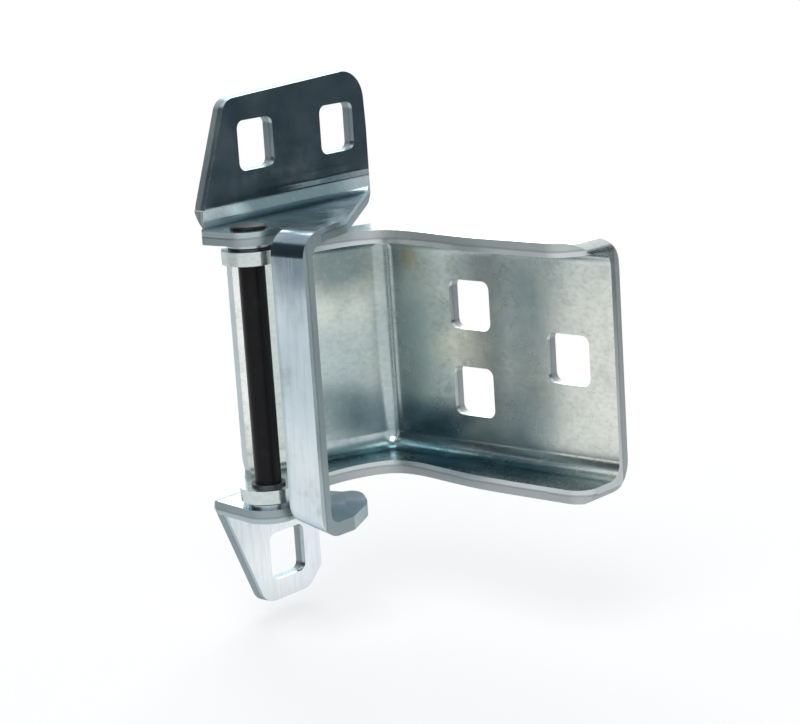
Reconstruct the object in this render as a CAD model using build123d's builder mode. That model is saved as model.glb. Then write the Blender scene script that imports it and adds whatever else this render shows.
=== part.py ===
"""Car door hinge: a pillar bracket, a door arm, their pin, bushings and thrust washers.

Millimetres. The pin axis is Z, zero half way up the arm's knuckle. X stands square off
the pillar face, Y runs along it from the pin towards the door.
"""

import math
import os

from build123d import *

os.makedirs("parts", exist_ok=True)

# Pressed sheet
sheet = 4.0
bend_in = 3.0
bend_out = bend_in + sheet
plate_bend_in = 6.0
plate_bend_out = plate_bend_in + sheet
arm_bend_in = 5.0
arm_bend_out = arm_bend_in + sheet

# Square bolt holes
bolt_hole = 15.0
bolt_hole_corner = 2.5
bolt_pitch = 36.0
bolt_height = 63.6

# Pin and what turns on it
pin_r = 3.9
running_fit = 0.05
press_fit = 0.02
pin_head_r = 5.4
pin_head_rise = 1.0
pin_head_round = 0.8 * pin_head_rise
pin_tail_r = 4.8
pin_tail = 0.8
pin_tail_chamfer = pin_tail / 2
bush_r = 5.0
bush_flange_r = 6.3
bush_flange = 0.5
bush_lip = 0.8
washer_r = 6.3
washer = 1.0
end_play = 0.3

# Knuckle
ring_r = 8.4
boss_r = 8.5
arm_half = 37.2
arm_in = arm_half - sheet
ear_in = arm_half + bush_flange + end_play + washer
ear_out = ear_in + sheet

# Pillar bracket: upper plate
plate_x = 18.5
plate_back = plate_x + sheet
bolt_y = 24.5
upper_heel_y = -5.5
upper_foot_y = 0.9
upper_foot_z = ear_out + 4.0
upper_shoulder_y = bolt_y - 11.7
upper_shoulder_z = bolt_height + 14.4
upper_end_y = bolt_y + bolt_pitch + 14.3
upper_end_lean = 1.7
upper_end_trim = 0.8
upper_top = bolt_height + 17.4
upper_corner_r = 9.5
shoulder_r = 5.0

# Pillar bracket: ears
nose_x = 10.0
nose_y = 9.2
nose_r = 2.5
ear_front_y = 0.5
ear_edge_x = 21.0
ear_edge_y = 9.5
ear_edge_r = 12.0
ear_waist_x = 18.2
ear_waist_y = 21.5
ear_waist_r = 25.0
lower_nose_x = 16.4
lower_nose_y = 6.1
lower_nose_r = 3.0
lobe_x = 20.0
lobe_y = 21.0
lobe_r = 8.0
lobe_tip_x = 12.5
lobe_tip_y = 26.0
lobe_tip_r = 3.0
lobe_root_x = 8.7
lobe_root_y = 16.0
lobe_root_r = 4.0
web_root_x = 5.0
web_root_y = 27.0
web_root_r = 10.0
kink_x = 9.0
kink_slope = 0.2

# Pillar bracket: lower tab
tab_foot_y = -1.4
tab_toe_y = bolt_y - 10.8
tab_bottom = bolt_height + 13.8
tab_corner_r = 6.0
tab_bottom_y = bolt_y + 8.5
tab_right = 39.2
tab_right_z = bolt_height + 7.9

# Pillar bracket: strap
strap_left = 11.9
strap_right = 24.5
strap_width = strap_right - strap_left
strap_front = -4.0
bend_tangent = strap_front + bend_out
bend_overlap = 1.0
bend_end = bend_tangent + bend_overlap
notch_top = 4.6
kink_drop = kink_slope * (strap_right - kink_x)

# Door arm
web_y = 53.1
arm_end = 88.6
neck_angle = 22.8
neck_corner_x = 3.75
neck_length = 49.7
neck_bend = 6.0
flange_y = 35.8
flange_run_x = 60.0
crown_x = 21.0
crown_y = 39.3
crown_slope = (1, 0.12)
ear_front = [(7.6, 19.0), (9.2, 26.5), (13.2, 35.0)]
flange_dip = [(34.0, 38.3), (44.0, 36.8)]
ear_back_angle = -138.65
arm_bolt_x = 36.5
arm_bolt_z = 13.2
arm_far_bolt_x = 72.2
upper_end_corner = 5.0
lower_end_corner = 2.0
upper_flange_corner = 10.5
lower_flange_corner = 6.0

# Room beyond every outline, for cutting and trimming
beyond = 2 * arm_end


def corner(drawn, x, y):
    """Return the corner of a sketch that lies closest to a point on its plane."""
    return drawn.vertices().sort_by_distance((x, y, 0))[0]


def edge_at(shape, x, y, z):
    """Return the edge of a solid that passes closest to a point."""
    return shape.edges().sort_by_distance((x, y, z))[0]


def cut_bolt_holes(plane, centres):
    """Cut rounded square bolt holes through one sheet lying on a plane."""
    with BuildSketch(plane) as holes:
        with Locations(*centres):
            RectangleRounded(bolt_hole, bolt_hole, bolt_hole_corner)
    extrude(holes.sketch, amount=2 * sheet, both=True, mode=Mode.SUBTRACT)


# Upper plate and ear of the bracket
with BuildPart() as upper_angle:
    with BuildSketch(Plane.XZ) as section:
        with BuildLine():
            Polyline(
                (-plate_back, beyond),
                (-plate_back, ear_in),
                (beyond, ear_in),
                (beyond, ear_out),
                (-plate_x, ear_out),
                (-plate_x, beyond),
                close=True,
            )
        make_face()
        fillet(corner(section, -plate_back, ear_in), plate_bend_out)
        fillet(corner(section, -plate_x, ear_out), plate_bend_in)
    extrude(amount=beyond, both=True)
    with BuildSketch(Plane.YZ) as outline:
        with BuildLine():
            Polyline(
                (-beyond, 0),
                (-beyond, ear_out),
                (upper_heel_y, ear_out),
                (upper_foot_y, upper_foot_z),
                (upper_shoulder_y, upper_shoulder_z),
                (upper_end_y - upper_end_lean, upper_top),
                (upper_end_y, ear_out + bend_in),
                (upper_end_y, 0),
                close=True,
            )
        make_face()
        fillet(corner(outline, upper_shoulder_y, upper_shoulder_z), shoulder_r)
        fillet(corner(outline, upper_end_y - upper_end_lean, upper_top), upper_corner_r)
    extrude(amount=beyond, both=True, mode=Mode.INTERSECT)
    with BuildSketch(Plane.XY) as outline:
        with BuildLine():
            Polyline(
                (boss_r, 0),
                (boss_r, notch_top),
                (strap_left, notch_top),
                (strap_left, bend_tangent),
                (strap_right, bend_tangent),
                (ear_edge_x, ear_edge_y),
                (ear_waist_x, ear_waist_y),
                (-plate_x, upper_end_y - upper_end_trim),
                (-beyond, upper_end_y + beyond),
                (-beyond, ear_front_y),
                (-plate_x, ear_front_y),
                (-nose_x, -nose_y),
                (0, -boss_r),
            )
            CenterArc((0, 0), boss_r, -90, 90)
        make_face()
        fillet(corner(outline, -nose_x, -nose_y), nose_r)
        fillet(corner(outline, ear_edge_x, ear_edge_y), ear_edge_r)
        fillet(corner(outline, ear_waist_x, ear_waist_y), ear_waist_r)
    extrude(amount=beyond, mode=Mode.INTERSECT)

# Lower tab and ear, the ear dropping away under the strap
with BuildPart() as lower_angle:
    with BuildSketch(Plane.XZ) as section:
        with BuildLine():
            Polyline(
                (-plate_back, -beyond),
                (-plate_back, -ear_in),
                (kink_x, -ear_in),
                (strap_right, -ear_in - kink_drop),
                (strap_right, -ear_out - kink_drop),
                (kink_x, -ear_out),
                (-plate_x, -ear_out),
                (-plate_x, -beyond),
                close=True,
            )
        make_face()
        fillet(corner(section, -plate_back, -ear_in), bend_out)
        fillet(corner(section, -plate_x, -ear_out), bend_in)
    extrude(amount=beyond, both=True)
    with BuildSketch(Plane.XY) as outline:
        with BuildLine():
            Polyline(
                (boss_r, 0),
                (boss_r, notch_top),
                (strap_left, notch_top),
                (strap_left, bend_tangent),
                (strap_right, bend_tangent),
                (strap_right, ear_edge_y),
                (lobe_x, lobe_y),
                (lobe_tip_x, lobe_tip_y),
                (lobe_root_x, lobe_root_y),
                (-web_root_x, web_root_y),
                (bend_in - plate_x, tab_right),
                (-beyond, tab_right),
                (-beyond, tab_foot_y),
                (-plate_back, tab_foot_y),
                (-lower_nose_x, -lower_nose_y),
                (0, -boss_r),
            )
            CenterArc((0, 0), boss_r, -90, 90)
        make_face()
        fillet(corner(outline, lobe_x, lobe_y), lobe_r)
        fillet(corner(outline, lobe_tip_x, lobe_tip_y), lobe_tip_r)
        fillet(corner(outline, lobe_root_x, lobe_root_y), lobe_root_r)
        fillet(corner(outline, -web_root_x, web_root_y), web_root_r)
        fillet(corner(outline, -lower_nose_x, -lower_nose_y), lower_nose_r)
    extrude(amount=-beyond, mode=Mode.INTERSECT)
    with BuildSketch(Plane.YZ.offset(bend_in - plate_x)) as spare:
        with BuildLine():
            Polyline(
                (-beyond, -ear_out),
                (tab_foot_y, -ear_out),
                (tab_toe_y, -tab_bottom),
                (tab_bottom_y, -tab_bottom),
                (tab_right, -tab_right_z),
                (beyond, -tab_right_z),
                (beyond, -beyond),
                (-beyond, -beyond),
                close=True,
            )
        make_face()
        fillet(corner(spare, tab_toe_y, -tab_bottom), tab_corner_r)
        fillet(corner(spare, tab_bottom_y, -tab_bottom), tab_corner_r)
    extrude(amount=-beyond, mode=Mode.SUBTRACT)

# Front strap joining the two ears
with BuildPart() as strap:
    with BuildSketch(Plane.YZ.offset(strap_left)) as upper_bend:
        with BuildLine():
            Polyline(
                (strap_front, -bend_out),
                (strap_front, ear_out),
                (bend_end, ear_out),
                (bend_end, ear_in),
                (strap_front + sheet, ear_in),
                (strap_front + sheet, -bend_out),
                close=True,
            )
        make_face()
        fillet(corner(upper_bend, strap_front, ear_out), bend_out)
        fillet(corner(upper_bend, strap_front + sheet, ear_in), bend_in)
    extrude(amount=strap_width)
    with BuildSketch(Plane.YZ.offset(strap_left)) as lower_bend:
        start_drop = kink_slope * (strap_left - kink_x)
        low_in = -ear_in - start_drop
        low_out = -ear_out - start_drop
        with BuildLine():
            Polyline(
                (strap_front, 0),
                (strap_front, low_out),
                (bend_end, low_out),
                (bend_end, low_in),
                (strap_front + sheet, low_in),
                (strap_front + sheet, 0),
                close=True,
            )
        make_face()
        fillet(corner(lower_bend, strap_front, low_out), bend_out)
        fillet(corner(lower_bend, strap_front + sheet, low_in), bend_in)
    slant = Vector(1, 0, -kink_slope).normalized()
    extrude(amount=strap_width * math.hypot(1, kink_slope), dir=slant)

# Pillar bracket: one pressing
with BuildPart() as pillar_bracket:
    add(upper_angle.part)
    add(lower_angle.part)
    add(strap.part)
    Cylinder(pin_r + press_fit, 2 * beyond, mode=Mode.SUBTRACT)
    upper_bolts = [(bolt_y, bolt_height), (bolt_y + bolt_pitch, bolt_height)]
    cut_bolt_holes(Plane.YZ.offset(-plate_x), upper_bolts)
    cut_bolt_holes(Plane.YZ.offset(-plate_x), [(bolt_y, -bolt_height)])
pillar_bracket.part.label = "pillar_bracket"

# Door arm: a cranked channel whose flanges run on into the two ears
neck = math.radians(neck_angle)
neck_along = Vector(math.sin(neck), math.cos(neck))
neck_out = Vector(-math.cos(neck), math.sin(neck))
neck_run = (1 - math.sin(neck)) / math.cos(neck)
inner_corner = Vector(neck_corner_x, web_y)
outer_corner = inner_corner + Vector(-neck_run, 1) * sheet
bend_centre = inner_corner + Vector(neck_run, -1) * neck_bend
bend_middle = Vector(-math.sin((math.pi / 2 - neck) / 2), math.cos((math.pi / 2 - neck) / 2))
web_end_in = inner_corner - neck_along * neck_length
web_end_out = web_end_in + neck_out * sheet
past_end = web_end_in + neck_out * beyond
ear_back = math.radians(ear_back_angle)
ear_tangent = Vector(math.cos(ear_back), math.sin(ear_back)) * ring_r


def web_edges(shape, offset, height):
    """Return the six long edges where one side of the web meets both flanges."""
    points = [
        web_end_in + neck_out * offset + neck_along * neck_length / 2,
        bend_centre + bend_middle * (neck_bend + offset),
        Vector(arm_end / 2, web_y + offset),
    ]
    return [edge_at(shape, p.X, p.Y, z) for p in points for z in (-height, height)]


with BuildPart() as arm_room:
    with BuildSketch(Plane.XY.offset(-arm_in)) as room:
        with BuildLine():
            Polyline(
                (inner_corner.X, inner_corner.Y),
                (web_end_in.X, web_end_in.Y),
                (past_end.X, past_end.Y),
                (past_end.X, -beyond),
                (beyond, -beyond),
                (beyond, web_y),
                close=True,
            )
        make_face()
        fillet(corner(room, inner_corner.X, inner_corner.Y), neck_bend)
    extrude(amount=2 * arm_in)
    fillet(web_edges(arm_room, 0, arm_in), arm_bend_in)

with BuildPart() as door_arm:
    with BuildSketch(Plane.XY.offset(-arm_half)) as outline:
        with BuildLine():
            CenterArc((0, 0), ring_r, ear_back_angle, -ear_back_angle)
            Spline(
                (ring_r, 0),
                *ear_front,
                (crown_x, crown_y),
                tangents=[(0, 1), crown_slope],
            )
            Spline(
                (crown_x, crown_y),
                *flange_dip,
                (flange_run_x, flange_y),
                tangents=[crown_slope, (1, 0)],
            )
            Polyline(
                (flange_run_x, flange_y),
                (arm_end, flange_y),
                (arm_end, web_y + sheet),
                (outer_corner.X, outer_corner.Y),
                (web_end_out.X, web_end_out.Y),
                (ear_tangent.X, ear_tangent.Y),
            )
        make_face()
        fillet(corner(outline, outer_corner.X, outer_corner.Y), neck_bend + sheet)
    extrude(amount=2 * arm_half)
    fillet(web_edges(door_arm, sheet, arm_half), arm_bend_out)
    add(arm_room.part, mode=Mode.SUBTRACT)
    fillet(edge_at(door_arm, arm_end, flange_y, arm_half - sheet / 2), upper_flange_corner)
    fillet(edge_at(door_arm, arm_end, flange_y, -arm_half + sheet / 2), lower_flange_corner)
    with BuildSketch(Plane.XZ) as side:
        with Locations(((arm_end - beyond) / 2, 0)):
            Rectangle(arm_end + beyond, 2 * arm_half)
        fillet(corner(side, arm_end, arm_half), upper_end_corner)
        fillet(corner(side, arm_end, -arm_half), lower_end_corner)
    extrude(amount=beyond, both=True, mode=Mode.INTERSECT)
    Cylinder(bush_r + press_fit, 2 * beyond, mode=Mode.SUBTRACT)
    arm_bolts = [(arm_bolt_x, arm_bolt_z), (arm_bolt_x, -arm_bolt_z), (arm_far_bolt_x, 0)]
    cut_bolt_holes(Plane.XZ.offset(-web_y - sheet / 2), arm_bolts)
door_arm.part.label = "door_arm"

# Hinge pin, its head on the upper ear and its tail peened under the lower one
with BuildPart() as hinge_pin:
    with Locations((0, 0, ear_out + pin_head_rise / 2)):
        Cylinder(pin_head_r, pin_head_rise)
    head_rim = hinge_pin.edges().filter_by(GeomType.CIRCLE).sort_by(Axis.Z)[-1]
    fillet(head_rim, pin_head_round)
    with Locations((0, 0, -ear_out - pin_tail / 2)):
        Cylinder(pin_tail_r, pin_tail)
    tail_rim = hinge_pin.edges().filter_by(GeomType.CIRCLE).sort_by(Axis.Z)[0]
    chamfer(tail_rim, pin_tail_chamfer)
    Cylinder(pin_r, 2 * ear_out)
hinge_pin.part.label = "hinge_pin"


def ring_solid(radius, bore, low, high):
    """Add a plain ring about the pin axis between two heights."""
    with Locations((0, 0, (low + high) / 2)):
        Cylinder(radius, high - low)
        Cylinder(bore, high - low, mode=Mode.SUBTRACT)


bore = pin_r + running_fit

# Flanged bushings pressed into the ears of the arm
with BuildPart() as upper_bushing:
    ring_solid(bush_r, bore, arm_in - bush_lip, arm_half)
    ring_solid(bush_flange_r, bore, arm_half, arm_half + bush_flange)
upper_bushing.part.label = "upper_bushing"

with BuildPart() as lower_bushing:
    ring_solid(bush_r, bore, -arm_half, bush_lip - arm_in)
    ring_solid(bush_flange_r, bore, -arm_half - bush_flange, -arm_half)
lower_bushing.part.label = "lower_bushing"

# Thrust washers against the ears of the bracket
with BuildPart() as upper_washer:
    ring_solid(washer_r, bore, ear_in - washer, ear_in)
upper_washer.part.label = "upper_washer"

with BuildPart() as lower_washer:
    ring_solid(washer_r, bore, -ear_in, washer - ear_in)
lower_washer.part.label = "lower_washer"

export_step(pillar_bracket.part, "parts/pillar_bracket.step")
export_step(door_arm.part, "parts/door_arm.step")
export_step(hinge_pin.part, "parts/hinge_pin.step")
export_step(upper_bushing.part, "parts/upper_bushing.step")
export_step(lower_bushing.part, "parts/lower_bushing.step")
export_step(upper_washer.part, "parts/upper_washer.step")
export_step(lower_washer.part, "parts/lower_washer.step")
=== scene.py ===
"""Looks of the car door hinge: zinc plated pressings, black pin, dark bushings, studio."""

import logging
import math
from dataclasses import dataclass
from enum import Enum

import bmesh
import bpy
from mathutils import Matrix, Vector
from mathutils.bvhtree import BVHTree


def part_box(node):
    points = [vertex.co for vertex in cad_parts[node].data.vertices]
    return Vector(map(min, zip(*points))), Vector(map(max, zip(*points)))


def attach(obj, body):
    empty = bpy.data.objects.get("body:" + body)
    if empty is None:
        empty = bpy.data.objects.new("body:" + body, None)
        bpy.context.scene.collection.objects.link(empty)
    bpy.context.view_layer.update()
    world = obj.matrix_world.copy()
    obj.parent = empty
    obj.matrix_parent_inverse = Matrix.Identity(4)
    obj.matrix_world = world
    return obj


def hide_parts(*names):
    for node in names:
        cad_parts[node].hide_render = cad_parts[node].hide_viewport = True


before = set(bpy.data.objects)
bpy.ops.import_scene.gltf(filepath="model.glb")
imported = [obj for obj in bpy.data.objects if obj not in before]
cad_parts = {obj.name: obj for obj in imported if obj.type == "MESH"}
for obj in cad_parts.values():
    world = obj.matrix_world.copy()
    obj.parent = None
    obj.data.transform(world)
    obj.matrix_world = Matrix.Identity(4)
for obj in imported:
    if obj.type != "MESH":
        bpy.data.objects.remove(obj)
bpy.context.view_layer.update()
log = logging.getLogger("door_hinge")

MM = 0.001
SHEET = 4.0 * MM
WHITE = (1.0, 1.0, 1.0)
NOISE_MIDDLE = 0.5
Colour = tuple[float, float, float]
Triple = tuple[float, float, float]

# Scale, number of finer layers and their weight.
Noise = tuple[float, float, float]

# Value at the middle of a rise from 0 to 1, and the width of the rise.
Rise = tuple[float, float]


class Slot(Enum):
    """Material slot names of the record for the pressings; each pressing keeps one, but nothing
    reads it.
    """

    BRACKET = "bracket_zinc"
    ARM = "arm_zinc"


def shade(colour: Colour, share: float) -> Colour:
    """Darken a colour to a share of itself."""
    return tuple(share * c for c in colour)


class Tree:
    """The node tree of a material or a world, with one method that makes every node."""

    def __init__(self, name: str, world: bool = False) -> None:
        """Start an empty node tree in a new material or world.

        Args:
            name: Name of the material or world.
            world: Whether the tree lights the scene and isn't a material.
        """
        blocks = bpy.data.worlds if world else bpy.data.materials
        self.owner = blocks.new(name)
        self.owner.use_nodes = True
        self.tree = self.owner.node_tree
        self.tree.nodes.clear()

    def node(self, kind: str, settings: dict | None = None, **sockets: object) -> bpy.types.Node:
        """Make one node, its settings first and then its sockets.

        Args:
            kind: Type name of the node.
            settings: Attributes to set before the sockets.
            sockets: Values or Wires by socket name, underscores standing for spaces.

        Returns:
            The new node.
        """
        made = self.tree.nodes.new(kind)
        for key, value in (settings or {}).items():
            setattr(made, key, value)
        for key, value in sockets.items():
            self._feed(self._socket(made, key), value)
        return made

    def wire(
        self, kind: str, output: str, settings: dict | None = None, **sockets: object
    ) -> "Wire":
        """Make one node and take one of its outputs.

        Args:
            kind: Type name of the node.
            output: Name of the output.
            settings: Attributes to set before the sockets.
            sockets: Values or Wires by socket name, underscores standing for spaces.

        Returns:
            The output as a Wire.
        """
        made = self.node(kind, settings, **sockets)
        outputs = [s for s in made.outputs if s.enabled and s.name == output]
        return Wire(self, outputs[0])

    def mix(self, low: object, high: object, factor: object) -> "Wire":
        """Mix two colours.

        Args:
            low: Colour or Wire at factor 0.
            high: Colour or Wire at factor 1.
            factor: Number or Wire.

        Returns:
            The mixed colour.
        """
        ends = [end if isinstance(end, Wire) else (*end, 1.0) for end in (low, high)]
        settings = {"data_type": "RGBA", "clamp_factor": True}
        picks = {"Factor": factor, "A": ends[0], "B": ends[1]}
        return self.wire("ShaderNodeMix", "Result", settings, **picks)

    def noise(self, place: "Wire", size: float, detail: float, rough: float) -> "Wire":
        """Make a noise.

        Args:
            place: Coordinates to read.
            size: Scale of the noise.
            detail: Number of finer layers.
            rough: Weight of the finer layers.

        Returns:
            The noise's value.
        """
        settings = {"Vector": place, "Scale": size, "Detail": detail, "Roughness": rough}
        return self.wire("ShaderNodeTexNoise", "Fac", **settings)

    def attribute(self, name: str) -> "Wire":
        """Read one of the piece's own attributes."""
        return self.wire("ShaderNodeAttribute", "Fac", {"attribute_name": name})

    def vector(self, operation: str, output: str, *inputs: object) -> "Wire":
        """Make one Vector Math node.

        Args:
            operation: What the node does.
            output: Name of the output.
            inputs: Its operands in order.

        Returns:
            The output as a Wire.
        """
        sockets = {f"input_{i}": value for i, value in enumerate(inputs)}
        return self.wire("ShaderNodeVectorMath", output, {"operation": operation}, **sockets)

    def _feed(self, socket: bpy.types.NodeSocket, value: object) -> None:
        """Link a Wire to a socket, or set the socket to a plain value.

        Args:
            socket: The input socket.
            value: A Wire, or the value to set.
        """
        if isinstance(value, Wire):
            self.tree.links.new(value.socket, socket)
        else:
            socket.default_value = value

    @staticmethod
    def _socket(made: bpy.types.Node, key: str) -> bpy.types.NodeSocket:
        """Find an input.

        Args:
            made: The node.
            key: Name of the input, or input_ and its number where inputs share a name.

        Returns:
            The input socket.
        """
        if key.startswith("input_"):
            return made.inputs[int(key.removeprefix("input_"))]
        name = key.replace("_", " ")
        return [s for s in made.inputs if s.enabled and s.name == name][0]


@dataclass(frozen=True)
class Wire:
    """An output socket that can be used in sums."""

    tree: Tree
    socket: bpy.types.NodeSocket

    def _math(self, operation: str, first: object, second: object) -> "Wire":
        """Add one Math node.

        Args:
            operation: What the node does.
            first: First operand.
            second: Second operand.

        Returns:
            The node's value.
        """
        settings = {"operation": operation}
        return self.tree.wire("ShaderNodeMath", "Value", settings, input_0=first, input_1=second)

    def __add__(self, other: object) -> "Wire":
        """Sum."""
        return self._math("ADD", self, other)

    def __sub__(self, other: object) -> "Wire":
        """Difference."""
        return self._math("SUBTRACT", self, other)

    def __rsub__(self, other: object) -> "Wire":
        """Difference from a number."""
        return self._math("SUBTRACT", other, self)

    def __mul__(self, other: object) -> "Wire":
        """Product."""
        return self._math("MULTIPLY", self, other)

    __radd__ = __add__
    __rmul__ = __mul__

    def over(self, edge: float, soft: float) -> "Wire":
        """Rise from 0 to 1 as this value passes an edge.

        Args:
            edge: Value at the middle of the rise.
            soft: Width of the rise.

        Returns:
            A value from 0 to 1.
        """
        settings = {"interpolation_type": "SMOOTHSTEP", "clamp": True}
        ends = {"From_Min": edge - soft / 2, "From_Max": edge + soft / 2}
        return self.tree.wire("ShaderNodeMapRange", "Result", settings, Value=self, **ends)

    def swing(self) -> "Wire":
        """Shift a noise so that it swings about 0."""
        return self - NOISE_MIDDLE

    def abs(self) -> "Wire":
        """Size without its sign."""
        return self._math("ABSOLUTE", self, 0.0)


@dataclass(frozen=True)
class PaintedLightAndStainPatch:
    """A soft oval of colour laid on the plating about a place on the piece, in millimetres: most
    are painted shade, painted reflections and painted highlights, a few are real stains and tool
    marks.
    """

    centre: Triple
    reach: Triple
    colour: Colour
    strength: float
    edge: float = 0.75
    soft: float = 0.8
    ragged: float = 0.8

    def weight(self, t: Tree, place: Wire, cloud: Wire) -> Wire:
        """Weigh how near a point is to the patch's centre.

        Args:
            t: Tree of the material.
            place: Object coordinates.
            cloud: Noise that makes the patch's rim ragged.

        Returns:
            The factor with which the patch's colour is laid on.
        """
        centre = tuple(c * MM for c in self.centre)
        reach = tuple(r * MM for r in self.reach)
        away = t.vector("SUBTRACT", "Vector", place, centre)
        share = t.vector("DIVIDE", "Vector", away, reach)
        far = t.vector("LENGTH", "Value", share)
        rim = far + cloud.swing() * self.ragged
        return (1 - rim.over(self.edge, self.soft)) * self.strength


@dataclass(frozen=True)
class ZincFinish:
    """Clear zinc plating on a rolled skin, with duller punched edges, real stains and patches of
    painted light.
    """

    name: str
    skin: Colour
    stain: Colour
    edge: Colour
    roughness: float
    painted_light_and_stains: tuple[PaintedLightAndStainPatch, ...]
    grazing: Colour = (0.5, 0.58, 0.62)
    metallic: float = 0.97
    cloud_noise: Noise = (34.0, 5.0, 0.6)
    bloom_noise: Noise = (95.0, 4.0, 0.62)
    grain_noise: Noise = (420.0, 3.0, 0.5)
    rolled_noise: Noise = (1.0, 4.0, 0.5)
    rolling: Triple = (900.0, 900.0, 90.0)
    stain_rise: Rise = (0.56, 0.3)
    stain_share: float = 0.75
    spot_rise: Rise = (0.66, 0.2)
    spot_share: float = 0.3
    spot_shade: float = 0.4
    dark_rise: Rise = (0.56, 0.24)
    dark_shade: float = 0.3
    pale_rise: Rise = (0.38, 0.16)
    streaks: float = 0.08
    tear_depth: float = 0.4
    tear_soft: float = 0.12
    tear_ragged: float = 0.35
    tear_shade: float = 0.8
    line_rise: Rise = (0.07, 0.06)
    line_share: float = 0.45
    line_shade: float = 0.35
    rough_swing: float = 0.3
    cut_rough: float = 0.12
    torn_rough: float = 0.22
    grain_rough: float = 0.1
    torn_relief: float = 1.5
    skin_relief: float = 0.12
    bloom_relief: float = 0.2
    relief_depth: float = 0.06 * MM
    relief_strength: float = 0.35

    def build(self) -> bpy.types.Material:
        """Build the material.

        Returns:
            A material that reads Object coordinates and the piece's own attributes.
        """
        t = Tree(self.name)
        place = t.wire("ShaderNodeTexCoord", "Object")
        punched = t.attribute("punched")
        cloud = t.noise(place, *self.cloud_noise)
        bloom = t.noise(place, *self.bloom_noise)
        grain = t.noise(place, *self.grain_noise)
        rolled = t.wire("ShaderNodeMapping", "Vector", Vector=place, Scale=self.rolling)
        streak = t.noise(rolled, *self.rolled_noise)
        depth = t.attribute("through") + cloud.swing() * self.tear_ragged
        torn = depth.over(self.tear_depth, self.tear_soft)

        colour = self._skin(t, place, cloud, bloom, streak)
        colour = t.mix(colour, self._shear(t, depth, torn), punched)
        rough = bloom.swing() * self.rough_swing + self.roughness
        rough = rough + streak.swing() * self.streaks
        rough = rough + punched * (torn * self.torn_rough + self.cut_rough)
        rough = rough + grain.swing() * self.grain_rough
        coarse = punched * torn * self.torn_relief + self.skin_relief
        relief = grain * coarse + bloom * self.bloom_relief
        bump = t.wire(
            "ShaderNodeBump",
            "Normal",
            Strength=self.relief_strength,
            Distance=self.relief_depth,
            Height=relief,
        )
        shader = t.wire(
            "ShaderNodeBsdfPrincipled",
            "BSDF",
            Base_Color=colour,
            Roughness=rough,
            Metallic=self.metallic,
            Specular_Tint=(*self.grazing, 1.0),
            Normal=bump,
        )
        t.node("ShaderNodeOutputMaterial", Surface=shader)
        return t.owner

    def _skin(self, t: Tree, place: Wire, cloud: Wire, bloom: Wire, streak: Wire) -> Wire:
        """Colour the rolled skin, with its stains and its patches of painted shade, painted
        reflections and painted highlights.

        Args:
            t: Tree of the material.
            place: Object coordinates.
            cloud: Broad noise.
            bloom: Noise of the plating's spots.
            streak: Noise along the rolling direction.

        Returns:
            The skin's colour.
        """
        stained = cloud.over(*self.stain_rise) * self.stain_share
        colour = t.mix(self.skin, self.stain, stained)
        # Most patches are painted shade, painted reflections and painted highlights; a few are
        # real stains and tool marks.
        for patch in self.painted_light_and_stains:
            colour = t.mix(colour, patch.colour, patch.weight(t, place, cloud))
        spots = bloom.over(*self.spot_rise) * self.spot_share
        colour = t.mix(colour, shade(self.skin, self.spot_shade), spots)
        dark = streak.over(*self.dark_rise) * self.streaks
        colour = t.mix(colour, shade(self.skin, self.dark_shade), dark)
        pale = (1 - streak.over(*self.pale_rise)) * self.streaks
        return t.mix(colour, self.stain, pale)

    def _shear(self, t: Tree, depth: Wire, torn: Wire) -> Wire:
        """Colour a punched face.

        Args:
            t: Tree of the material.
            depth: How deep in the sheet a point lies, with a ragged swing.
            torn: 0 where the punch sheared the face, 1 where it tore.

        Returns:
            The face's colour, with a dark line where the shear turns into the tear.
        """
        colour = t.mix(self.edge, shade(self.edge, self.tear_shade), torn)
        away = (depth - self.tear_depth).abs()
        line = (1 - away.over(*self.line_rise)) * self.line_share
        return t.mix(colour, shade(self.edge, self.line_shade), line)


@dataclass(frozen=True)
class PlainSteel:
    """Turned steel of one colour, with fine rings of grain about the pin axis."""

    name: str
    colour: Colour
    roughness: float
    metallic: float = 0.9
    wear: float = 0.2
    wear_rise: Rise = (0.62, 0.2)
    wear_gain: float = 2.2
    wear_lift: float = 0.03
    rub_noise: Noise = (260.0, 4.0, 0.5)
    ring_noise: Noise = (1.0, 2.0, 0.5)
    ring_sizes: Triple = (60.0, 60.0, 2600.0)
    ring_depth: float = 0.03 * MM
    ring_strength: float = 0.25
    rough_swing: float = 0.25
    gloss: float = 0.2

    def build(self) -> bpy.types.Material:
        """Build the material.

        Returns:
            A material that reads Object coordinates.
        """
        t = Tree(self.name)
        place = t.wire("ShaderNodeTexCoord", "Object")
        rub = t.noise(place, *self.rub_noise)
        turned = t.wire("ShaderNodeMapping", "Vector", Vector=place, Scale=self.ring_sizes)
        rings = t.noise(turned, *self.ring_noise)
        worn = tuple(min(1.0, c * self.wear_gain + self.wear_lift) for c in self.colour)
        rubbed = rub.over(*self.wear_rise) * self.wear
        bump = t.wire(
            "ShaderNodeBump",
            "Normal",
            Strength=self.ring_strength,
            Distance=self.ring_depth,
            Height=rings,
        )
        shader = t.wire(
            "ShaderNodeBsdfPrincipled",
            "BSDF",
            Base_Color=t.mix(self.colour, worn, rubbed),
            Roughness=rub.swing() * self.rough_swing + self.roughness,
            Metallic=self.metallic,
            Specular_IOR_Level=self.gloss,
            Normal=bump,
        )
        t.node("ShaderNodeOutputMaterial", Surface=shader)
        return t.owner


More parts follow.
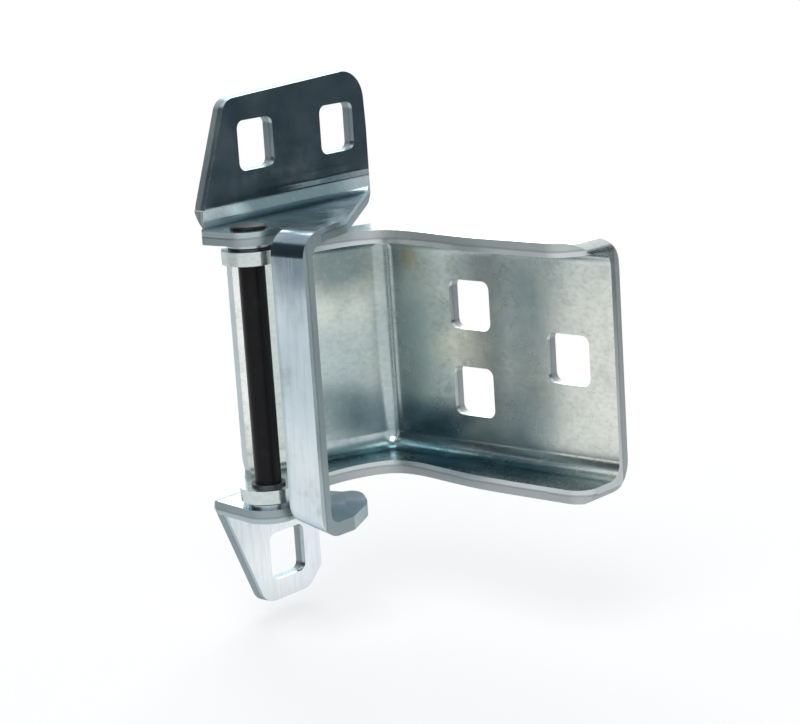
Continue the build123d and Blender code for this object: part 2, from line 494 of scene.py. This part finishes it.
@dataclass
class Pressing:
    """A pressed sheet piece: its skin, its softened edges and its punched faces."""

    node: str
    body: str
    slot: Slot
    finish: ZincFinish
    edge_radius: float = 0.7 * MM
    edge_segments: int = 3
    edge_angle: float = math.radians(38)
    flat_angle: float = math.radians(0.4)
    flat_weight: int = 100
    flat_threshold: float = 0.02
    merge: float = 0.002 * MM
    inset: float = 0.2 * MM
    ray_reach: float = 1.0
    skin_limit: float = 1.12 * SHEET

    def through_at(self, centre: Vector, point: Vector) -> float:
        """Say how deep in the sheet a point on a punched face lies.

        Args:
            centre: Centre of the face.
            point: The point.

        Returns:
            0 at the side that the punch entered, 1 at the other.
        """
        raise NotImplementedError

    def build(self) -> bpy.types.Object:
        """Build the dressed piece in place of its CAD node.

        Returns:
            The dressed piece, riding on its body.
        """
        mesh = self._merged(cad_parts[self.node])
        tree = self._tree(mesh)
        piece = bpy.data.objects.new(self.node + "_pressing", mesh)
        bpy.context.scene.collection.objects.link(piece)
        self._soften(piece)
        self._mark(piece.data, tree)
        piece.data.materials.clear()
        piece.data.materials.append(self.finish.build())
        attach(piece, self.body)
        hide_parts(self.node)
        log.info("%s: %d faces", piece.name, len(piece.data.polygons))
        return piece

    def _merged(self, source: bpy.types.Object) -> bpy.types.Mesh:
        """Copy a CAD node's mesh with its corners merged and its flats joined.

        Args:
            source: The CAD node.

        Returns:
            The joined mesh, shaded smooth.
        """
        work = bmesh.new()
        work.from_mesh(source.data)
        bmesh.ops.remove_doubles(work, verts=work.verts, dist=self.merge)
        bmesh.ops.dissolve_limit(
            work, angle_limit=self.flat_angle, verts=work.verts, edges=work.edges
        )
        for face in work.faces:
            face.smooth = True
        mesh = bpy.data.meshes.new(source.name + "_pressing")
        work.to_mesh(mesh)
        work.free()
        return mesh

    @staticmethod
    def _tree(mesh: bpy.types.Mesh) -> BVHTree:
        """Make a search tree of a mesh before its edges are softened.

        Args:
            mesh: The joined mesh.

        Returns:
            The tree that rays are cast at.
        """
        work = bmesh.new()
        work.from_mesh(mesh)
        tree = BVHTree.FromBMesh(work)
        work.free()
        return tree

    def _soften(self, piece: bpy.types.Object) -> None:
        """Round the sharp edges and keep the flats flat, as plain mesh.

        Args:
            piece: The piece, whose mesh is replaced by the softened one.
        """
        bevel = piece.modifiers.new("soft_edges", "BEVEL")
        bevel.width = self.edge_radius
        bevel.segments = self.edge_segments
        bevel.limit_method = "ANGLE"
        bevel.angle_limit = self.edge_angle
        flats = piece.modifiers.new("true_flats", "WEIGHTED_NORMAL")
        flats.weight = self.flat_weight
        flats.thresh = self.flat_threshold
        bpy.context.view_layer.update()
        graph = bpy.context.evaluated_depsgraph_get()
        piece.data = bpy.data.meshes.new_from_object(piece.evaluated_get(graph))
        piece.modifiers.clear()

    def _mark(self, mesh: bpy.types.Mesh, tree: BVHTree) -> None:
        """Mark the punched faces and how deep in the sheet their corners lie.

        A face is the sheet's skin where a ray into it comes out after one thickness.

        Args:
            mesh: The piece's mesh.
            tree: Search tree of the mesh with sharp edges.
        """
        punched = mesh.attributes.new("punched", "FLOAT", "FACE")
        through = mesh.attributes.new("through", "FLOAT", "CORNER")
        middles = self._middles(mesh)
        for polygon in mesh.polygons:
            start = middles[polygon.index] - polygon.normal * self.inset
            hit = tree.ray_cast(start, -polygon.normal, self.ray_reach)
            deep = hit[0] is None or hit[3] + self.inset > self.skin_limit
            punched.data[polygon.index].value = 1.0 if deep else 0.0
            for loop in polygon.loop_indices:
                point = mesh.vertices[mesh.loops[loop].vertex_index].co
                through.data[loop].value = self.through_at(polygon.center, point)

    @staticmethod
    def _middles(mesh: bpy.types.Mesh) -> dict[int, Vector]:
        """Find a point that lies inside each face, also where the face has a hole.

        Args:
            mesh: The piece's mesh.

        Returns:
            The middle of each face's widest triangle, by face number.
        """
        mesh.calc_loop_triangles()
        widest: dict[int, bpy.types.MeshLoopTriangle] = {}
        for triangle in mesh.loop_triangles:
            held = widest.get(triangle.polygon_index)
            if held is None or triangle.area > held.area:
                widest[triangle.polygon_index] = triangle
        return {
            number: sum((mesh.vertices[v].co for v in triangle.vertices), Vector()) / 3
            for number, triangle in widest.items()
        }


@dataclass
class PillarBracket(Pressing):
    """The bracket that is bolted to the pillar, with its front strap."""

    plate_face: float = -18.5 * MM
    ear_in: float = 39.0 * MM
    strap_front: float = -4.0 * MM
    plate_margin: float = 0.1 * MM
    plate_rise: float = 3.0 * MM
    ear_margin: float = 0.5 * MM

    def through_at(self, centre: Vector, point: Vector) -> float:
        """Measure from the front of the plates and the strap, and from outside the ears.

        Args:
            centre: Centre of the face.
            point: The point.

        Returns:
            0 at the side that the punch entered, 1 at the other.
        """
        behind = centre.x < self.plate_face + self.plate_margin
        if behind and abs(centre.z) > self.ear_in + self.plate_rise:
            return (point.x - self.plate_face) / -SHEET
        if abs(centre.z) > self.ear_in - self.ear_margin:
            return 1 - (abs(point.z) - self.ear_in) / SHEET
        return (point.y - self.strap_front) / SHEET


@dataclass
class DoorArm(Pressing):
    """The cranked channel arm that is bolted to the door."""

    web_face: float = 53.1 * MM
    flange_in: float = 33.2 * MM
    flange_margin: float = 0.1 * MM

    def through_at(self, centre: Vector, point: Vector) -> float:
        """Measure from the inside of the channel.

        Args:
            centre: Centre of the face.
            point: The point.

        Returns:
            0 at the side that the punch entered, 1 at the other.
        """
        beside = abs(centre.z) > self.flange_in - self.flange_margin
        if beside and centre.y < self.web_face:
            return (abs(point.z) - self.flange_in) / SHEET
        return (point.y - self.web_face) / SHEET


@dataclass
class Knuckle:
    """The pin, its bushings and its thrust washers."""

    pin: PlainSteel = PlainSteel(
        "black_pin", (0.006, 0.006, 0.007), roughness=0.38, metallic=0.3, wear=0.1
    )
    bushing: PlainSteel = PlainSteel("dark_bushing", (0.09, 0.095, 0.10), roughness=0.4)
    washer: PlainSteel = PlainSteel("bright_washer", (0.48, 0.54, 0.56), roughness=0.28)

    def build(self) -> None:
        """Dress the turned pieces where they stand."""
        finishes = {
            "hinge_pin": self.pin,
            "upper_bushing": self.bushing,
            "lower_bushing": self.bushing,
            "upper_washer": self.washer,
            "lower_washer": self.washer,
        }
        built = {f.name: f.build() for f in (self.pin, self.bushing, self.washer)}
        for name, finish in finishes.items():
            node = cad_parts[name]
            node.data.materials.clear()
            node.data.materials.append(built[finish.name])
            log.info("%s: %s", name, finish.name)


def stand_sheet(name: str, corners: list[Vector | Triple], t: Tree) -> bpy.types.Object:
    """Stand one flat sheet in the studio.

    Args:
        name: Name of the sheet.
        corners: Its four corners in order.
        t: Tree of its material.

    Returns:
        The sheet.
    """
    mesh = bpy.data.meshes.new(name)
    mesh.from_pydata(corners, [], [(0, 1, 2, 3)])
    mesh.materials.append(t.owner)
    sheet = bpy.data.objects.new(name, mesh)
    bpy.context.scene.collection.objects.link(sheet)
    return sheet


@dataclass(frozen=True)
class Softbox:
    """One square lamp that faces a target."""

    name: str
    place: Triple
    target: Triple
    size: float
    power: float

    def build(self) -> None:
        """Hang the lamp."""
        data = bpy.data.lights.new(self.name, "AREA")
        data.shape = "SQUARE"
        data.size = self.size
        data.energy = self.power
        lamp = bpy.data.objects.new(self.name, data)
        lamp.location = self.place
        aim = Vector(self.target) - Vector(self.place)
        lamp.rotation_mode = "QUATERNION"
        lamp.rotation_quaternion = aim.to_track_quat("-Z", "Y")
        bpy.context.scene.collection.objects.link(lamp)


@dataclass(frozen=True)
class DarkCard:
    """A dark card beside the hinge that is seen only in its reflections."""

    name: str
    place: Triple
    target: Triple
    width: float
    height: float
    colour: Colour = (0.03, 0.048, 0.056)

    def build(self) -> None:
        """Stand the card so that it faces its target."""
        right, up = self.width / 2, self.height / 2
        flat = [(-right, -up, 0.0), (right, -up, 0.0), (right, up, 0.0), (-right, up, 0.0)]
        aim = (Vector(self.target) - Vector(self.place)).to_track_quat("Z", "Y")
        turn = Matrix.Translation(self.place) @ aim.to_matrix().to_4x4()
        t = Tree(self.name)
        cloth = t.wire("ShaderNodeBsdfDiffuse", "BSDF", Color=(*self.colour, 1.0))
        t.node("ShaderNodeOutputMaterial", Surface=cloth)
        card = stand_sheet(self.name, [turn @ Vector(c) for c in flat], t)
        card.visible_camera = False
        card.visible_diffuse = False
        card.visible_shadow = False


@dataclass
class Studio:
    """Pale room, floor, lamps, dark cards and camera."""

    lamps: tuple[Softbox, ...] = (
        Softbox("key_above", (0.30, -0.45, 0.75), (0.02, 0.02, 0.0), size=0.55, power=5.0),
        Softbox("back_above", (-0.45, 0.60, 0.45), (0.02, 0.03, 0.0), size=0.6, power=5.0),
    )
    cards: tuple[DarkCard, ...] = (
        DarkCard("dark_right", (0.29, 0.38, 0.05), (-0.02, 0.03, 0.05), width=0.50, height=0.27),
        DarkCard(
            "dark_front_left", (-0.42, -0.47, 0.26), (0.02, 0.03, 0.2), width=0.95, height=0.62
        ),
    )
    camera_place: Triple = (0.460449, -0.460673, 0.143523)
    camera_right: Triple = (0.75794, 0.64915, -0.06430)
    camera_up: Triple = (-0.09203, 0.20400, 0.97464)
    focal_pixels: float = 2289.3
    image_width: float = 800.0
    sensor: float = 36.0
    room_colour: Colour = (0.86, 0.93, 1.0)
    room_strength: float = 0.45
    floor_gap: float = 4.0 * MM
    floor_reach: float = 1.6
    floor_colour: Colour = (0.9, 0.9, 0.9)
    floor_glow: float = 0.7
    shadow_reach: float = 0.22

    def build(self) -> None:
        """Build the room, the floor, the lamps, the cards and the camera."""
        self._world()
        self._floor()
        for fitting in (*self.lamps, *self.cards):
            fitting.build()
        self._camera()
        log.info("studio ready")

    def _world(self) -> None:
        """Pale surroundings, white where the camera or a reflection looks."""
        t = Tree("pale_room", world=True)
        rays = t.node("ShaderNodeLightPath")
        kinds = ("Is Camera Ray", "Is Glossy Ray", "Is Transmission Ray")
        direct, mirrored, refracted = (Wire(t, rays.outputs[kind]) for kind in kinds)
        seen = direct + mirrored + refracted
        white = self._backdrop(t, WHITE, 1.0)
        soft = self._backdrop(t, self.room_colour, self.room_strength)
        both = t.wire("ShaderNodeMixShader", "Shader", Fac=seen, input_1=soft, input_2=white)
        t.node("ShaderNodeOutputWorld", Surface=both)
        bpy.context.scene.world = t.owner

    @staticmethod
    def _backdrop(t: Tree, colour: Colour, strength: float) -> Wire:
        """Make one background of an even colour."""
        sockets = {"Color": (*colour, 1.0), "Strength": strength}
        return t.wire("ShaderNodeBackground", "Background", **sockets)

    def _floor(self) -> None:
        """Lay a plain pale floor just below the hinge, fading to white around it."""
        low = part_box("pillar_bracket")[0].z - self.floor_gap
        far = self.floor_reach
        t = Tree("pale_floor")
        rays = t.node("ShaderNodeLightPath")
        kinds = ("Is Camera Ray", "Is Glossy Ray")
        direct, mirrored = (Wire(t, rays.outputs[kind]) for kind in kinds)
        away = t.vector("LENGTH", "Value", t.wire("ShaderNodeTexCoord", "Object"))
        fade = away.over(self.shadow_reach, self.shadow_reach) * (1 - self.floor_glow)
        white = (fade + self.floor_glow) * (direct + mirrored)
        paper = t.wire("ShaderNodeBsdfDiffuse", "BSDF", Color=(*self.floor_colour, 1.0))
        glow = t.wire("ShaderNodeEmission", "Emission", Color=(*WHITE, 1.0), Strength=1.0)
        both = t.wire("ShaderNodeMixShader", "Shader", Fac=white, input_1=paper, input_2=glow)
        t.node("ShaderNodeOutputMaterial", Surface=both)
        corners = [(-far, -far, low), (far, -far, low), (far, far, low), (-far, far, low)]
        floor = stand_sheet("floor", corners, t)

    def _camera(self) -> None:
        """Set the camera where the picture was taken from."""
        data = bpy.data.cameras.new("camera")
        data.sensor_width = self.sensor
        data.lens = self.focal_pixels / self.image_width * self.sensor
        camera = bpy.data.objects.new("camera", data)
        right = Vector(self.camera_right).normalized()
        back = right.cross(Vector(self.camera_up)).normalized()
        up = back.cross(right)
        turn = Matrix((right, up, back)).transposed().to_4x4()
        camera.matrix_world = Matrix.Translation(self.camera_place) @ turn
        bpy.context.scene.collection.objects.link(camera)
        bpy.context.scene.camera = camera


BRACKET_ZINC = ZincFinish(
    "bracket_zinc_plate",
    skin=(0.66, 0.74, 0.79),
    stain=(0.74, 0.80, 0.82),
    edge=(0.42, 0.50, 0.53),
    roughness=0.2,
    painted_light_and_stains=(
        # Painted reflection: darker teal over the upper plate.
        PaintedLightAndStainPatch((-18, 44, 66), (30, 60, 26), (0.46, 0.56, 0.62), 0.8),
        # Painted shade: dark band along the bend from the upper plate to the ear.
        PaintedLightAndStainPatch((-15, 34, 46), (9, 52, 8), (0.10, 0.18, 0.20), 0.9),
        # Painted highlight: small cyan spot on that bend.
        PaintedLightAndStainPatch((-15, 13, 46), (5, 7, 3), (0.60, 0.75, 0.75), 0.6),
        # Painted shade: the upper ear's top darker around the pin.
        PaintedLightAndStainPatch((2, 18, 43), (20, 20, 3), (0.30, 0.36, 0.38), 0.85),
        # Painted shade: the strap darker towards its top bend.
        PaintedLightAndStainPatch((20, -4, 40), (16, 7, 22), (0.15, 0.22, 0.28), 0.85),
        # Painted shade: the strap's middle darker.
        PaintedLightAndStainPatch((20, -4, 6), (16, 6, 24), (0.44, 0.54, 0.60), 0.7),
        # Real tool marks: a paler row where the bend starts.
        PaintedLightAndStainPatch((-18, 50, 50.5), (6, 28, 1.4), (0.70, 0.80, 0.82), 0.5),
        # A thin darker stripe down the strap's left edge.
        PaintedLightAndStainPatch((12, -2, 0), (1.5, 8, 60), (0.36, 0.46, 0.48), 0.6),
        # Painted reflection: paler, bluer top of the lower ear by the pin.
        PaintedLightAndStainPatch((22, 14, -42), (13, 13, 8), (0.72, 0.84, 1.0), 0.7),
        # Painted reflection: the lower tab nearly white.
        PaintedLightAndStainPatch((-20, 24, -62), (26, 30, 22), (0.90, 0.94, 0.96), 0.9),
    ),
)
ARM_ZINC = ZincFinish(
    "arm_zinc_plate",
    skin=(0.60, 0.67, 0.66),
    stain=(0.68, 0.71, 0.62),
    edge=(0.58, 0.63, 0.64),
    roughness=0.24,
    grazing=(0.66, 0.73, 0.76),
    rolling=(560.0, 560.0, 900.0),
    streaks=0.1,
    painted_light_and_stains=(
        # Painted reflection: bright right end of the web.
        PaintedLightAndStainPatch((82, 53, -4), (26, 12, 36), (0.78, 0.80, 0.73), 0.8),
        # Painted reflection: darker middle of the web, where it mirrors the strap and bracket.
        PaintedLightAndStainPatch((30, 52, 0), (34, 8, 36), (0.36, 0.45, 0.43), 0.75),
        # Painted shade: dark lower left of the web.
        PaintedLightAndStainPatch((20, 52, -26), (22, 8, 10), (0.10, 0.22, 0.28), 0.85),
        # Painted shade: dark crease along the lower flange's inner bend.
        PaintedLightAndStainPatch((44, 46, -34), (40, 13, 5), (0.05, 0.15, 0.21), 0.95),
        # Painted shade: dark lower flange by the neck.
        PaintedLightAndStainPatch((2, 30, -34), (14, 26, 6), (0.12, 0.26, 0.32), 0.85),
        # Painted shade: darker band down the crank's bend.
        PaintedLightAndStainPatch((4, 53, -2), (5, 7, 40), (0.38, 0.46, 0.46), 0.7),
        # Painted shade: dark upper part of the first leg.
        PaintedLightAndStainPatch((-2, 40, 25), (14, 22, 13), (0.14, 0.21, 0.22), 0.85),
        # Painted shade: the first leg's middle a little darker.
        PaintedLightAndStainPatch((-3, 38, -3), (12, 26, 14), (0.40, 0.50, 0.51), 0.6),
        # Painted shade: dark lower part of the first leg.
        PaintedLightAndStainPatch((-4, 34, -20), (14, 18, 10), (0.20, 0.28, 0.30), 0.8),
        # Painted highlight: nearly white end of the neck beside the pin.
        PaintedLightAndStainPatch((-16, 6, 0), (9, 10, 50), (0.95, 0.97, 0.96), 0.9),
        # Painted highlight: the upper flange's top nearly white.
        PaintedLightAndStainPatch((45, 42, 38.5), (80, 40, 3), (0.96, 0.98, 1.0), 1.0),
        # Painted shade: darker strip of the web below the upper flange.
        PaintedLightAndStainPatch((42, 53, 22), (26, 6, 9), (0.34, 0.42, 0.42), 0.5),
        # Real yellowish stains on the web.
        PaintedLightAndStainPatch((14, 53, 26), (4, 4, 4), (0.62, 0.55, 0.30), 0.6),
        PaintedLightAndStainPatch((33, 53, 0), (13, 6, 9), (0.74, 0.70, 0.54), 0.45),
    ),
)


def main() -> None:
    """Build every piece and the studio."""
    bpy.context.scene.view_settings.view_transform = "Standard"
    PillarBracket("pillar_bracket", "pillar", Slot.BRACKET, BRACKET_ZINC).build()
    DoorArm("door_arm", "door", Slot.ARM, ARM_ZINC).build()
    Knuckle().build()
    Studio().build()


if __name__ == "__main__":
    logging.basicConfig(level=logging.INFO, format="%(name)s %(message)s")
    main()
